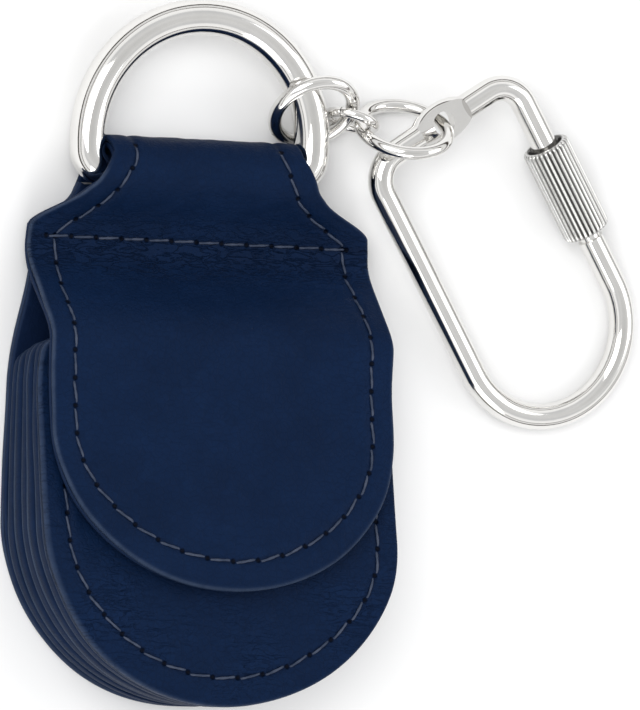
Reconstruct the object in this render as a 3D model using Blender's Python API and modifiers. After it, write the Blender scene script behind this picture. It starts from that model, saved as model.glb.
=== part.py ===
"""Leather pick holder: a stitched pouch of three pockets, a D-ring, a short chain and a screw carabiner.

It lies on its back on z = 0. +Y runs up the object to the D-ring, +Z out of the flap, +X to its right.
All sizes are in metres. Run it with: blender --background --python part.py
"""

import math

import bmesh
import bpy
from mathutils import Matrix, Vector

# ---------------------------------------------------------------- driving dimensions

POUCH_X = -0.01452          # the pouch's centre line
NECK_X = -0.01535           # the neck and its ring sit a little left of it
NECK_DRIFT = 0.00600        # the centre line moves over within this length

STRIP_OUTER_T = 0.00065     # leather thicknesses
STRIP_LINING_T = 0.00055
GLUE_GAP = 0.00010          # between two leathers that lie on each other
MERGE_DISTANCE = 0.00001

FOOT_Y = -0.03525           # lowest point of the pouch's U
POUCH_ARC_Y = -0.01755      # where the pouch's straight sides end
POUCH_HALF_W = 0.01930
SHOULDER_HALF_W = 0.01870   # of the front yoke
BACK_SHOULDER_HALF_W = 0.01720
BACK_GROWTH = 0.01500       # the back reaches the pouch's width this far below the yoke seam
FOLD_HALF_W = 0.01040       # half the width of the neck at its fold
NECK_SHARE = 0.26           # this share of the widening is a slow taper ...
NECK_TOP_Y = 0.01940        # ... that starts here
NECK_TAPER = 0.00350
FLARE_TOP_Y = 0.01700       # the rest is a flare that starts here
FLARE_LENGTH = 0.00500
FLARE_POWER = 1.2
BACK_DROP = 0.00050         # the back flares this much lower
FOOT_LEAN = 0.00060         # the hand-cut foot sits this far to the right ...
LEAN_ABOVE_ARC = 0.00400    # ... from this far above the arc ...
LEAN_RUN = 0.01400          # ... over this length

BAR_Y = 0.01800             # the D-ring's straight bar, inside the fold
BAR_Z = 0.00330
FOLD_Z = 0.00335            # centre of the fold round it
STRIP_END_Y = 0.01050       # the front yoke ends, and the flap's crease begins
CREASE_Y = 0.01035
CREASE_Z = 0.00270
YOKE_SEAM_Y = 0.01105
YOKE_FLAT = 0.00060         # the yoke lies flat this far above its end

FLAP_START_Y = 0.01020
FLAP_ARC_Y = -0.00755
FLAP_TIP_Y = -0.02335
FLAP_HALF_W = 0.01865
FLAP_LIFT = 0.00100         # the tip stands this far off the pocket ...
FLAP_LIFT_DROP = 0.00400    # ... and starts to lift this far below the arc

LEAF_COUNT = 6              # pocket leathers, two to each pocket
MOUTH_Y = (-0.00045, -0.00005, 0.00045, 0.00060, 0.00085, 0.00095)
MOUTH_CORNER_R = 0.00160
FACE_Z_MOUTH = 0.00800      # height of the front pocket's face at its mouth ...
FACE_Z_FOOT = 0.01200       # ... and at its foot
FACE_RUN = 0.02450
FLAP_OVER_FACE = 0.00175

SEAM_INSET = 0.00235        # stitch line to leather edge, along the sides
SEAM_END_INSET = 0.00295    # and at the round ends
FLAP_TOP_INSET = 0.00285    # and where the flap's seam starts
FLAP_TOP_RUN = 0.00800
POUCH_SEAM_DROP = 0.00120   # the pouch's seam starts this far under its mouth
NECK_SEAM_GAP = 0.00080     # the neck's seams stop this far above the straight one
YOKE_SEAM_INSET = 0.00060
THREAD_R = 0.00011
THREAD_OFF = 0.00005
SLOPE_SHARE = 1.3           # lifts a seam clear where its leather slopes

SLOPE_STEP = 0.00050        # half the length over which a slope is taken

MAGNET_Y = -0.01450
MAGNET_R = 0.00400
MAGNET_PLAY = 0.00015
WINDOW_DEPTH = 0.00400      # its cutter goes right through the leather
FLAP_MAGNET_T = 0.00045
POCKET_MAGNET_T = 0.00100

RING_X = -0.01535
RING_WIRE_R = 0.00180
RING_ARC_Y = 0.02125
RING_ARC_R = 0.01230
RING_CORNER_R = 0.00200
RING_TILT = math.radians(1.0)

CHAIN = {                   # jump rings: centre, direction of the ring's axis, ring radius, wire radius
    "link_1": ((-0.003085, 0.024676, 0.003564), (0.0430, -0.6881, 0.7243), 0.00410, 0.00072),
    "link_2": ((0.001361, 0.023993, 0.002976), (-0.2968, -0.9402, 0.1671), 0.00241, 0.00052),
    "link_3": ((0.006519, 0.023368, 0.004462), (-0.1024, 0.8442, 0.5262), 0.00443, 0.00068),
}

CARABINER_POS = (0.02407, 0.00424, 0.00204)     # centre of its round end
CARABINER_TURN = math.radians(33.57)
CARABINER_PITCH = math.radians(4.6)             # its eye end rests on the chain
CARABINER_WIRE_R = 0.00130
CARABINER_ARC_R = 0.00895
CARABINER_TOP_Y = 0.02405
CARABINER_CORNER_R = 0.00300

EYE_X = 0.00004
EYE_HOLE_R = 0.00120
EYE_SWELL = (0.00380, 0.00210, 0.00135)
EYE_FLAT_LENGTH = 0.00580
EYE_FLAT_T = 0.00130
EYE_CUT = 0.00300           # depth of the cutters that mill the eye

SLEEVE_LOW_Y = 0.00595
SLEEVE_HIGH_Y = 0.01575
SLEEVE_R = 0.00245
SLEEVE_BORE_R = 0.00180
SLEEVE_RIBS = 30
SLEEVE_RIB_DEPTH = 0.00016
SLEEVE_CHAMFER = 0.00035

STUB_END_Y = 0.01325        # the mouth lies between the wire's two ends, under the sleeve
STUD_END_Y = 0.00885
STUD_R = 0.00160
GROOVE_Y = 0.00565
GROOVE_LENGTH = 0.00050
GROOVE_R = 0.00105

NAVY = (0.018, 0.038, 0.085, 1.0)
NAVY_LINING = (0.022, 0.045, 0.095, 1.0)
NAVY_EDGE = (0.035, 0.060, 0.110, 1.0)
THREAD_BLUE = (0.045, 0.075, 0.140, 1.0)
NICKEL = (0.72, 0.71, 0.69, 1.0)
MAGNET_GREY = (0.45, 0.45, 0.46, 1.0)


# ---------------------------------------------------------------- scene helpers


def clear_scene():
    for item in list(bpy.data.objects):
        bpy.data.objects.remove(item)


def new_collection(name):
    collection = bpy.data.collections.new(name)
    bpy.context.scene.collection.children.link(collection)
    return collection


def principled(name, colour, roughness, metallic):
    material = bpy.data.materials.new(name)
    material.use_nodes = True
    shader = material.node_tree.nodes["Principled BSDF"]
    shader.inputs["Base Color"].default_value = colour
    shader.inputs["Roughness"].default_value = roughness
    shader.inputs["Metallic"].default_value = metallic
    return material


def add_object(name, data, collection, look=None):
    item = bpy.data.objects.new(name, data)
    collection.objects.link(item)
    if look is not None:
        colour, roughness, metallic = look
        data.materials.append(principled(name, colour, roughness, metallic))
    return item


def mesh_object(name, bm, collection, look=None):
    mesh = bpy.data.meshes.new(name)
    bmesh.ops.recalc_face_normals(bm, faces=bm.faces)
    bm.to_mesh(mesh)
    bm.free()
    return add_object(name, mesh, collection, look)


def shade_round(item, degrees=40):
    item.data.shade_smooth()
    item.data.set_sharp_from_angle(angle=math.radians(degrees))


def axis_empty(name, position, collection):
    """An empty on a joint's axis, which carries the moving pieces."""
    empty = bpy.data.objects.new(name, None)
    empty.location = position
    empty.empty_display_size = RING_WIRE_R
    collection.objects.link(empty)
    bpy.context.view_layer.update()
    return empty


def hang(item, empty):
    item.parent = empty
    item.matrix_parent_inverse = empty.matrix_world.inverted()


def cut(item, cutter, operation="DIFFERENCE"):
    modifier = item.modifiers.new(operation.lower() + "_" + cutter.name, "BOOLEAN")
    modifier.operation = operation
    modifier.object = cutter
    modifier.solver = "EXACT"
    cutter.hide_render = True
    cutter.display_type = "WIRE"


def wire(name, points, radius, cyclic, collection, look=None, sides_level=2):
    """A round wire along the points."""
    curve = bpy.data.curves.new(name, "CURVE")
    curve.dimensions = "3D"
    curve.bevel_depth = radius
    curve.bevel_resolution = sides_level
    curve.use_fill_caps = not cyclic
    spline = curve.splines.new("POLY")
    spline.points.add(len(points) - 1)
    for point, place in zip(spline.points, points):
        point.co = (*place, 1.0)
    spline.use_cyclic_u = cyclic
    return add_object(name, curve, collection, look)


def curve_to_mesh(item, collection):
    """The same wire as a closed mesh object, so that it can be cut and joined."""
    bpy.context.view_layer.update()
    graph = bpy.context.evaluated_depsgraph_get()
    mesh = bpy.data.meshes.new_from_object(item.evaluated_get(graph))
    bm = bmesh.new()
    bm.from_mesh(mesh)
    bmesh.ops.remove_doubles(bm, verts=bm.verts, dist=MERGE_DISTANCE)
    bmesh.ops.recalc_face_normals(bm, faces=bm.faces)
    bm.to_mesh(mesh)
    bm.free()
    name = item.name
    place = item.matrix_world.copy()
    bpy.data.objects.remove(item)
    solid = bpy.data.objects.new(name, mesh)
    solid.matrix_world = place
    collection.objects.link(solid)
    return solid


# ---------------------------------------------------------------- outlines and heights


def clamp(value, low=0.0, high=1.0):
    return max(low, min(high, value))


def ease(value):
    """0 to 1 with flat ends."""
    t = clamp(value)
    return t * t * (3.0 - 2.0 * t)


def spread(start, end, count):
    return [start + (end - start) * i / (count - 1) for i in range(count)]


def arc_rows(arc_y, end_y, count=15):
    """Heights down a round end, closer together towards its tip."""
    depth = arc_y - end_y
    return [arc_y - depth * math.sin(math.radians(88.0) * i / count) for i in range(1, count + 1)]


def round_end(y, half_width, arc_y, end_y):
    """Half the width at y of a strip with straight sides and a half-ellipse for its end."""
    if y >= arc_y:
        return half_width
    share = clamp((arc_y - y) / (arc_y - end_y))
    return half_width * math.sqrt(1.0 - share * share)


def neck_half_width(y, shoulder, drop=0.0):
    taper = clamp((NECK_TOP_Y - y) / NECK_TAPER)
    flare = ease(clamp((FLARE_TOP_Y - drop - y) / FLARE_LENGTH) ** FLARE_POWER)
    return FOLD_HALF_W + (shoulder - FOLD_HALF_W) * (NECK_SHARE * taper + (1.0 - NECK_SHARE) * flare)


def back_half_width(y):
    if y > POUCH_ARC_Y:
        grow = ease((YOKE_SEAM_Y - y) / BACK_GROWTH)
        narrow = neck_half_width(y, BACK_SHOULDER_HALF_W, BACK_DROP)
        return narrow + (POUCH_HALF_W - BACK_SHOULDER_HALF_W) * grow
    return round_end(y, POUCH_HALF_W, POUCH_ARC_Y, FOOT_Y)


def front_half_width(y):
    return neck_half_width(y, SHOULDER_HALF_W)


def pouch_centre(y):
    return POUCH_X + FOOT_LEAN * ease((POUCH_ARC_Y + LEAN_ABOVE_ARC - y) / LEAN_RUN)


def neck_centre(y):
    return POUCH_X + (NECK_X - POUCH_X) * ease((y - YOKE_SEAM_Y) / NECK_DRIFT)


def flap_half_width(y):
    return round_end(y, FLAP_HALF_W, FLAP_ARC_Y, FLAP_TIP_Y)


def face_z(y):
    """Height of the front pocket's outer face."""
    return FACE_Z_MOUTH + (FACE_Z_FOOT - FACE_Z_MOUTH) * ease((MOUTH_Y[-1] - y) / FACE_RUN)


def yoke_top_z():
    """Height of the front yoke where it lies flat on the back, four leathers and three gaps up."""
    return 2.0 * (STRIP_OUTER_T + STRIP_LINING_T) + 3.0 * GLUE_GAP


def flap_top_z(y):
    """Height of the flap's outer face: up from the crease, over the pocket, and proud of it at the tip."""
    over = face_z(y) + FLAP_OVER_FACE
    if y > MOUTH_Y[-1]:
        rise = ease((FLAP_START_Y - y) / (FLAP_START_Y - MOUTH_Y[-1]))
        return yoke_top_z() + (over - yoke_top_z()) * rise
    lift_start = FLAP_ARC_Y - FLAP_LIFT_DROP
    lift = clamp((lift_start - y) / (lift_start - FLAP_TIP_Y))
    return over + FLAP_LIFT * lift * lift


def offset_path(path, distance):
    """A (y, z) path moved sideways, to the right of its direction."""
    moved = []
    for i, (y, z) in enumerate(path):
        before = path[max(i - 1, 0)]
        after = path[min(i + 1, len(path) - 1)]
        along = Vector((after[0] - before[0], after[1] - before[1])).normalized()
        moved.append((y + along.y * distance, z - along.x * distance))
    return moved


# ---------------------------------------------------------------- leather


def sheet(name, path, half_width, centre, thickness, collection, look, row_thickness=None):
    """A leather that is straight across: a ruled surface along a (y, z) path, with a thickness."""
    bm = bmesh.new()
    rows = []
    for y, z in path:
        left = bm.verts.new((centre(y) - half_width(y), y, z))
        right = bm.verts.new((centre(y) + half_width(y), y, z))
        rows.append((left, right))
    for upper, lower in zip(rows, rows[1:]):
        bm.faces.new((upper[0], lower[0], lower[1], upper[1]))
    item = mesh_object(name, bm, collection, look)
    modifier = item.modifiers.new("leather", "SOLIDIFY")
    modifier.thickness = thickness
    modifier.offset = 0.0
    modifier.use_even_offset = True
    if row_thickness is not None:
        group = item.vertex_groups.new(name="thickness")
        for vertex in item.data.vertices:
            group.add([vertex.index], row_thickness(vertex.co.y) / thickness, "REPLACE")
        modifier.vertex_group = group.name
    return item


def strip_outer_path():
    """Middle of the outer leather: up the back, round the ring's bar and down the front to the crease."""
    half = STRIP_OUTER_T / 2.0
    fold_r = FOLD_Z - half
    path = [(y, half) for y in reversed(arc_rows(POUCH_ARC_Y, FOOT_Y))]
    path += [(y, half) for y in spread(POUCH_ARC_Y, YOKE_SEAM_Y, 6)]
    path += [(y, half) for y in spread(YOKE_SEAM_Y, BAR_Y, 10)[1:-1]]
    for i in range(13):
        turn = math.pi * i / 12
        path.append((BAR_Y + fold_r * math.sin(turn), FOLD_Z - fold_r * math.cos(turn)))
    top = FOLD_Z + fold_r
    low = yoke_top_z() - half
    flat_y = STRIP_END_Y + YOKE_FLAT
    for y in spread(BAR_Y, STRIP_END_Y, 14)[1:]:
        path.append((y, low + (top - low) * ease((y - flat_y) / (BAR_Y - flat_y))))
    return path


def strip_half_width(path):
    """Half widths down a strip's path: the back's while it runs up, the front's once it has turned."""
    turn = max(range(len(path)), key=lambda i: path[i][0])
    return {i: (back_half_width if i <= turn else front_half_width) for i in range(len(path))}


def strip(name, path, thickness, inset, collection, look):
    """The folded strip: a ruled surface whose width follows the back, then the front."""
    side = strip_half_width(path)
    bm = bmesh.new()
    rows = []
    for i, (y, z) in enumerate(path):
        half = side[i](y) - inset
        middle = pouch_centre(y) if y < YOKE_SEAM_Y else neck_centre(y)
        rows.append((bm.verts.new((middle - half, y, z)), bm.verts.new((middle + half, y, z))))
    for lower, upper in zip(rows, rows[1:]):
        bm.faces.new((lower[0], lower[1], upper[1], upper[0]))
    item = mesh_object(name, bm, collection, look)
    modifier = item.modifiers.new("leather", "SOLIDIFY")
    modifier.thickness = thickness
    modifier.offset = 0.0
    modifier.use_even_offset = True
    return item


def build_strip(collection):
    outer = strip_outer_path()
    strip("strip_outer", outer, STRIP_OUTER_T, 0.0, collection, (NAVY, 0.55, 0.0))
    spacing = (STRIP_OUTER_T + STRIP_LINING_T) / 2.0 + GLUE_GAP
    lining = offset_path(outer, -spacing)
    strip("strip_lining", lining, STRIP_LINING_T, 0.0, collection, (NAVY_LINING, 0.7, 0.0))


def leaf_half_width(mouth_y):
    """Half the width of a pocket leather, with its two top corners rounded."""

    def half_width(y):
        half = back_half_width(y)
        below = clamp((mouth_y - y) / MOUTH_CORNER_R)
        return half - MOUTH_CORNER_R * (1.0 - math.sqrt(1.0 - (1.0 - below) ** 2))

    return half_width


def build_leaves(collection):
    """The pocket leathers, rear to front, in a stack that thickens towards the foot."""
    names = ("leaf_1_rear", "leaf_1_front", "leaf_2_rear", "leaf_2_front", "pocket_rear", "pocket_front")
    base = STRIP_OUTER_T + STRIP_LINING_T + 2.0 * GLUE_GAP
    leaves = {}
    for i, (name, mouth) in enumerate(zip(names, MOUTH_Y)):

        def pitch(y):
            return (face_z(y) - base + GLUE_GAP) / LEAF_COUNT

        def middle(y):
            return base + pitch(y) * (i + 0.5) - GLUE_GAP / 2.0

        def thickness(y):
            return pitch(y) - GLUE_GAP

        corner = [mouth - MOUTH_CORNER_R * share for share in (0.0, 0.12, 0.35, 1.0)]
        heights = corner + spread(corner[-1], POUCH_ARC_Y, 7)[1:] + arc_rows(POUCH_ARC_Y, FOOT_Y)
        path = [(y, middle(y)) for y in heights]
        leaves[name] = sheet(
            name, path, leaf_half_width(mouth), pouch_centre, thickness(FOOT_Y), collection,
            (NAVY_EDGE, 0.6, 0.0), thickness,
        )
    return leaves


def flap_path(below_top):
    """Middle of a flap leather that lies this far under the flap's outer face."""
    heights = spread(FLAP_START_Y, FLAP_ARC_Y, 22) + arc_rows(FLAP_ARC_Y, FLAP_TIP_Y)
    return offset_path([(y, flap_top_z(y)) for y in heights], -below_top)


def build_flap(collection, axis):
    outer = sheet(
        "flap_outer", flap_path(STRIP_OUTER_T / 2.0), flap_half_width, lambda y: POUCH_X, STRIP_OUTER_T,
        collection, (NAVY, 0.55, 0.0),
    )
    lining = sheet(
        "flap_lining", flap_path(STRIP_OUTER_T + GLUE_GAP + STRIP_LINING_T / 2.0), flap_half_width,
        lambda y: POUCH_X, STRIP_LINING_T, collection, (NAVY_LINING, 0.7, 0.0),
    )
    hang(outer, axis)
    hang(lining, axis)
    return lining


def surface_tilt(height, y):
    """Angle about X of a surface whose height is given as a function of y."""
    return math.atan2(height(y + SLOPE_STEP) - height(y - SLOPE_STEP), 2.0 * SLOPE_STEP)


def disc(name, radius, thickness, position, tilt, collection, look=None):
    bm = bmesh.new()
    bmesh.ops.create_cone(
        bm, cap_ends=True, segments=40, radius1=radius, radius2=radius, depth=thickness,
        matrix=Matrix.Translation(position) @ Matrix.Rotation(tilt, 4, "X"),
    )
    return mesh_object(name, bm, collection, look)


def build_magnets(collection, cutters, flap_lining, pocket_front, axis):
    """Two discs, each let into a round window of its leather and flush with it."""
    under_flap = STRIP_OUTER_T + GLUE_GAP + STRIP_LINING_T / 2.0
    places = (
        ("flap_magnet", flap_lining, flap_top_z, under_flap, FLAP_MAGNET_T),
        ("pocket_magnet", pocket_front, face_z, POCKET_MAGNET_T / 2.0 + GLUE_GAP, POCKET_MAGNET_T),
    )
    for name, leather, height, depth, thickness in places:
        tilt = surface_tilt(height, MAGNET_Y)
        inward = Matrix.Rotation(tilt, 3, "X") @ Vector((0.0, 0.0, -depth))
        position = Vector((POUCH_X, MAGNET_Y, height(MAGNET_Y))) + inward
        magnet = disc(name, MAGNET_R, thickness, position, tilt, collection, (MAGNET_GREY, 0.35, 1.0))
        shade_round(magnet)
        window = disc(name + "_window", MAGNET_R + MAGNET_PLAY, WINDOW_DEPTH, position, tilt, cutters)
        if leather is flap_lining:
            hang(magnet, axis)
            hang(window, axis)
        cut(leather, window)


# ---------------------------------------------------------------- thread


def pouch_seam_points():
    end_y = FOOT_Y + SEAM_END_INSET
    heights = spread(MOUTH_Y[-1] - POUCH_SEAM_DROP, POUCH_ARC_Y, 8) + arc_rows(POUCH_ARC_Y, end_y, 14)
    right = []
    for y in heights:
        if y >= POUCH_ARC_Y:
            half = back_half_width(y) - SEAM_INSET
        else:
            half = round_end(y, POUCH_HALF_W - SEAM_INSET, POUCH_ARC_Y, end_y)
        right.append((pouch_centre(y), half, y, face_z(y)))
    return both_sides(right)


def flap_seam_points():
    end_y = FLAP_TIP_Y + SEAM_END_INSET
    heights = spread(FLAP_START_Y - 2.0 * GLUE_GAP, FLAP_ARC_Y, 16) + arc_rows(FLAP_ARC_Y, end_y, 14)
    right = []
    for y in heights:
        top_share = ease((y - FLAP_START_Y + FLAP_TOP_RUN) / FLAP_TOP_RUN)
        inset = SEAM_INSET + (FLAP_TOP_INSET - SEAM_INSET) * top_share
        half = round_end(y, FLAP_HALF_W - inset, FLAP_ARC_Y, end_y)
        right.append((POUCH_X, half, y, flap_top_z(y)))
    return both_sides(right)


def both_sides(rows):
    """Points down the left of a U and up its right, lifted clear of the leather."""
    lift = (THREAD_R + THREAD_OFF) * SLOPE_SHARE
    down = [(middle - half, y, z + lift) for middle, half, y, z in rows]
    up = [(middle + half, y, z + lift) for middle, half, y, z in reversed(rows)]
    return down + up


def neck_seam_points(side):
    """Over the front yoke beside one edge of the neck, from the straight seam to the fold."""
    path = offset_path(strip_outer_path(), STRIP_OUTER_T / 2.0 + THREAD_R + THREAD_OFF)
    turn = max(range(len(path)), key=lambda i: path[i][0])
    front = [point for point in path[turn:] if point[0] > YOKE_SEAM_Y + NECK_SEAM_GAP]
    points = []
    for y, z in front:
        slope = (front_half_width(y - SLOPE_STEP) - front_half_width(y + SLOPE_STEP)) / (2.0 * SLOPE_STEP)
        inset = SEAM_INSET * math.sqrt(1.0 + slope * slope)
        points.append((neck_centre(y) + side * (front_half_width(y) - inset), y, z))
    return points


def build_threads(collection, axis):
    look = (THREAD_BLUE, 0.6, 0.0)
    wire("thread_pouch", pouch_seam_points(), THREAD_R, False, collection, look, 0)
    flap_thread = wire("thread_flap", flap_seam_points(), THREAD_R, False, collection, look, 0)
    hang(flap_thread, axis)
    for name, side in (("thread_neck_left", -1.0), ("thread_neck_right", 1.0)):
        wire(name, neck_seam_points(side), THREAD_R, False, collection, look, 0)
    yoke_z = yoke_top_z() + THREAD_R + THREAD_OFF
    reach = SHOULDER_HALF_W - YOKE_SEAM_INSET
    across = [(POUCH_X - reach, YOKE_SEAM_Y, yoke_z), (POUCH_X + reach, YOKE_SEAM_Y, yoke_z)]
    wire("thread_yoke", across, THREAD_R, False, collection, look, 0)


# ---------------------------------------------------------------- ring and chain


def arc_points(centre, radius, start, end, count):
    return [
        (centre[0] + radius * math.cos(angle), centre[1] + radius * math.sin(angle))
        for angle in spread(start, end, count)
    ]


def d_ring_points():
    """The D's middle line, from its bar's centre: a large arc, two small corners and the bar."""
    arc_y = RING_ARC_Y - BAR_Y
    rise = RING_CORNER_R - arc_y
    corner_x = math.sqrt((RING_ARC_R - RING_CORNER_R) ** 2 - rise * rise)
    start = math.atan2(rise, corner_x)
    flat = arc_points((0.0, arc_y), RING_ARC_R, start, math.pi - start, 40)
    flat += arc_points((-corner_x, RING_CORNER_R), RING_CORNER_R, math.pi - start, 1.5 * math.pi, 7)[1:]
    flat += arc_points((corner_x, RING_CORNER_R), RING_CORNER_R, -math.pi / 2.0, start, 7)[:-1]
    tilt = Matrix.Rotation(RING_TILT, 3, "X")
    return [tilt @ Vector((x, y, 0.0)) for x, y in flat]


def build_d_ring(collection):
    ring = wire("d_ring", d_ring_points(), RING_WIRE_R, True, collection, (NICKEL, 0.12, 1.0), 4)
    ring.location = (RING_X, BAR_Y, BAR_Z)
    return ring


def build_chain(collection):
    for name, (centre, direction, ring_r, wire_r) in CHAIN.items():
        circle = [
            (ring_r * math.cos(angle), ring_r * math.sin(angle), 0.0)
            for angle in (2.0 * math.pi * i / 36 for i in range(36))
        ]
        link = wire(name, circle, wire_r, True, collection, (NICKEL, 0.12, 1.0), 2)
        link.rotation_euler = Vector(direction).to_track_quat("Z", "X").to_euler()
        link.location = centre


# ---------------------------------------------------------------- carabiner


def carabiner_points():
    """Middle line of the bent wire, from its threaded end round to its plain end."""
    side = CARABINER_ARC_R
    corner = CARABINER_CORNER_R
    top = CARABINER_TOP_Y
    quarter = math.pi / 2.0
    flat = [(side, GROOVE_Y - GROOVE_LENGTH), (side, GROOVE_Y / 2.0)]
    flat += arc_points((0.0, 0.0), side, 0.0, -math.pi, 25)
    flat += [(-side, y) for y in spread(0.0, top - corner, 5)[1:-1]]
    flat += arc_points((-side + corner, top - corner), corner, math.pi, quarter, 8)
    flat += [(EYE_X - EYE_FLAT_LENGTH / 2.0, top), (EYE_X + EYE_FLAT_LENGTH / 2.0, top)]
    flat += arc_points((side - corner, top - corner), corner, quarter, 0.0, 8)
    flat += [(side, STUB_END_Y)]
    return [(x, y, 0.0) for x, y in flat]


def rod(name, radius, low_y, high_y, x, collection):
    """A round rod along the carabiner's own Y."""
    bm = bmesh.new()
    place = Matrix.Translation((x, (low_y + high_y) / 2.0, 0.0)) @ Matrix.Rotation(math.pi / 2.0, 4, "X")
    bmesh.ops.create_cone(
        bm, cap_ends=True, segments=20, radius1=radius, radius2=radius, depth=high_y - low_y, matrix=place
    )
    return mesh_object(name, bm, collection)


def build_carabiner_frame(collection, cutters, axis):
    """The bent wire, swollen and milled flat at the eye, with a stud for the sleeve's thread."""
    wire_curve = wire("carabiner_frame", carabiner_points(), CARABINER_WIRE_R, False, collection, None, 3)
    frame = curve_to_mesh(wire_curve, collection)
    frame.data.materials.append(principled("carabiner_frame", NICKEL, 0.12, 1.0))

    side = CARABINER_ARC_R
    stud = rod("stud", STUD_R, GROOVE_Y, STUD_END_Y, side, cutters)
    groove = rod("groove", GROOVE_R, GROOVE_Y - 2.0 * GROOVE_LENGTH, GROOVE_Y + GROOVE_LENGTH, side, cutters)
    for piece in (stud, groove):
        cut(frame, piece, "UNION")

    bm = bmesh.new()
    bmesh.ops.create_uvsphere(bm, u_segments=24, v_segments=12, radius=1.0)
    swell_place = Matrix.Translation((EYE_X, CARABINER_TOP_Y, 0.0)) @ Matrix.Diagonal((*EYE_SWELL, 1.0))
    bmesh.ops.transform(bm, matrix=swell_place, verts=bm.verts)
    swell = mesh_object("eye_swell", bm, cutters)
    cut(frame, swell, "UNION")

    slabs = []
    for name, way in (("flat_top", 1.0), ("flat_bottom", -1.0)):
        bm = bmesh.new()
        centre = (EYE_X, CARABINER_TOP_Y, way * (EYE_FLAT_T + EYE_CUT) / 2.0)
        place = Matrix.Translation(centre) @ Matrix.Diagonal((EYE_FLAT_LENGTH, 2.0 * EYE_CUT, EYE_CUT, 1.0))
        bmesh.ops.create_cube(bm, size=1.0, matrix=place)
        slabs.append(mesh_object(name, bm, cutters))
    bm = bmesh.new()
    bmesh.ops.create_cone(
        bm, cap_ends=True, segments=24, radius1=EYE_HOLE_R, radius2=EYE_HOLE_R, depth=2.0 * EYE_CUT,
        matrix=Matrix.Translation((EYE_X, CARABINER_TOP_Y, 0.0)),
    )
    hole = mesh_object("eye_hole", bm, cutters)
    for piece in (*slabs, hole):
        cut(frame, piece)
    for piece in (frame, stud, groove, swell, hole, *slabs):
        place_on_carabiner(piece, axis)
    shade_round(frame)


def place_on_carabiner(item, axis):
    item.location = CARABINER_POS
    item.rotation_euler = carabiner_rotation().to_euler()
    bpy.context.view_layer.update()
    hang(item, axis)


def carabiner_rotation():
    return Matrix.Rotation(CARABINER_TURN, 3, "Z") @ Matrix.Rotation(CARABINER_PITCH, 3, "X")


def carabiner_point(x, y, z=0.0):
    """A point of the carabiner's own frame, in the world."""
    return Vector(CARABINER_POS) + carabiner_rotation() @ Vector((x, y, z))


def build_sleeve(collection, axis):
    """A ribbed tube with chamfered ends: rings of points lofted down the outside and up the bore."""
    count = 2 * SLEEVE_RIBS
    edge = SLEEVE_R - SLEEVE_CHAMFER
    rings = (
        (SLEEVE_HIGH_Y, SLEEVE_BORE_R, 0.0),
        (SLEEVE_HIGH_Y, edge, 0.0),
        (SLEEVE_HIGH_Y - SLEEVE_CHAMFER, SLEEVE_R, SLEEVE_RIB_DEPTH),
        (SLEEVE_LOW_Y + SLEEVE_CHAMFER, SLEEVE_R, SLEEVE_RIB_DEPTH),
        (SLEEVE_LOW_Y, edge, 0.0),
        (SLEEVE_LOW_Y, SLEEVE_BORE_R, 0.0),
    )
    bm = bmesh.new()
    loops = []
    for y, radius, groove in rings:
        loop = []
        for i in range(count):
            angle = 2.0 * math.pi * i / count
            reach = radius - groove * (i % 2)
            loop.append(bm.verts.new((reach * math.cos(angle), y, reach * math.sin(angle))))
        loops.append(loop)
    for loop, following in zip(loops, loops[1:] + loops[:1]):
        for i in range(count):
            j = (i + 1) % count
            bm.faces.new((loop[i], loop[j], following[j], following[i]))
    sleeve = mesh_object("screw_sleeve", bm, collection, (NICKEL, 0.28, 1.0))
    middle = Matrix.Translation((CARABINER_ARC_R, 0.0, 0.0))
    sleeve.data.transform(middle)
    place_on_carabiner(sleeve, axis)
    shade_round(sleeve, 25)


# ---------------------------------------------------------------- assembly


def main():
    clear_scene()
    parts = new_collection("pick_holder")
    cutters = new_collection("cutters")
    flap_axis = axis_empty("flap_axis", (POUCH_X, CREASE_Y, CREASE_Z), parts)
    eye_axis = axis_empty("carabiner_axis", carabiner_point(EYE_X, CARABINER_TOP_Y), parts)
    sleeve_axis = axis_empty("sleeve_axis", carabiner_point(CARABINER_ARC_R, SLEEVE_LOW_Y), parts)
    hang(sleeve_axis, eye_axis)

    build_strip(parts)
    leaves = build_leaves(parts)
    flap_lining = build_flap(parts, flap_axis)
    build_magnets(parts, cutters, flap_lining, leaves["pocket_front"], flap_axis)
    build_threads(parts, flap_axis)
    build_d_ring(parts)
    build_chain(parts)
    build_carabiner_frame(parts, cutters, eye_axis)
    build_sleeve(parts, sleeve_axis)


main()
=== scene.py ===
import math

import bmesh
import bpy
import numpy as np
from mathutils import Matrix, Vector, kdtree


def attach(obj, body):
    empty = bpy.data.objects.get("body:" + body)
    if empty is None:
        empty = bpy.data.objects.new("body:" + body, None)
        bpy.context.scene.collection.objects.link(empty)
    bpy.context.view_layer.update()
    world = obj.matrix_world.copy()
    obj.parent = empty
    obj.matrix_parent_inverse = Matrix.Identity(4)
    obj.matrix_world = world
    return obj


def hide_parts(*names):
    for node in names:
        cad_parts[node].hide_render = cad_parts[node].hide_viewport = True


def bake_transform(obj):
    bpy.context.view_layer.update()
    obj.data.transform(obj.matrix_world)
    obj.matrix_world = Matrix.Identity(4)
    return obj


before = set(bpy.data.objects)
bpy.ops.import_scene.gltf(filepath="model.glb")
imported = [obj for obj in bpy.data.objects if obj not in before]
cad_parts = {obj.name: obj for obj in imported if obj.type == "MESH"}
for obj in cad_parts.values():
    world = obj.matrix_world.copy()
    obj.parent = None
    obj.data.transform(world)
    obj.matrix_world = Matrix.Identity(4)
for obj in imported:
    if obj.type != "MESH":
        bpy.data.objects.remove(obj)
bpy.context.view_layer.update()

# ---------------- dimensions, in metres, as in the part

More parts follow.
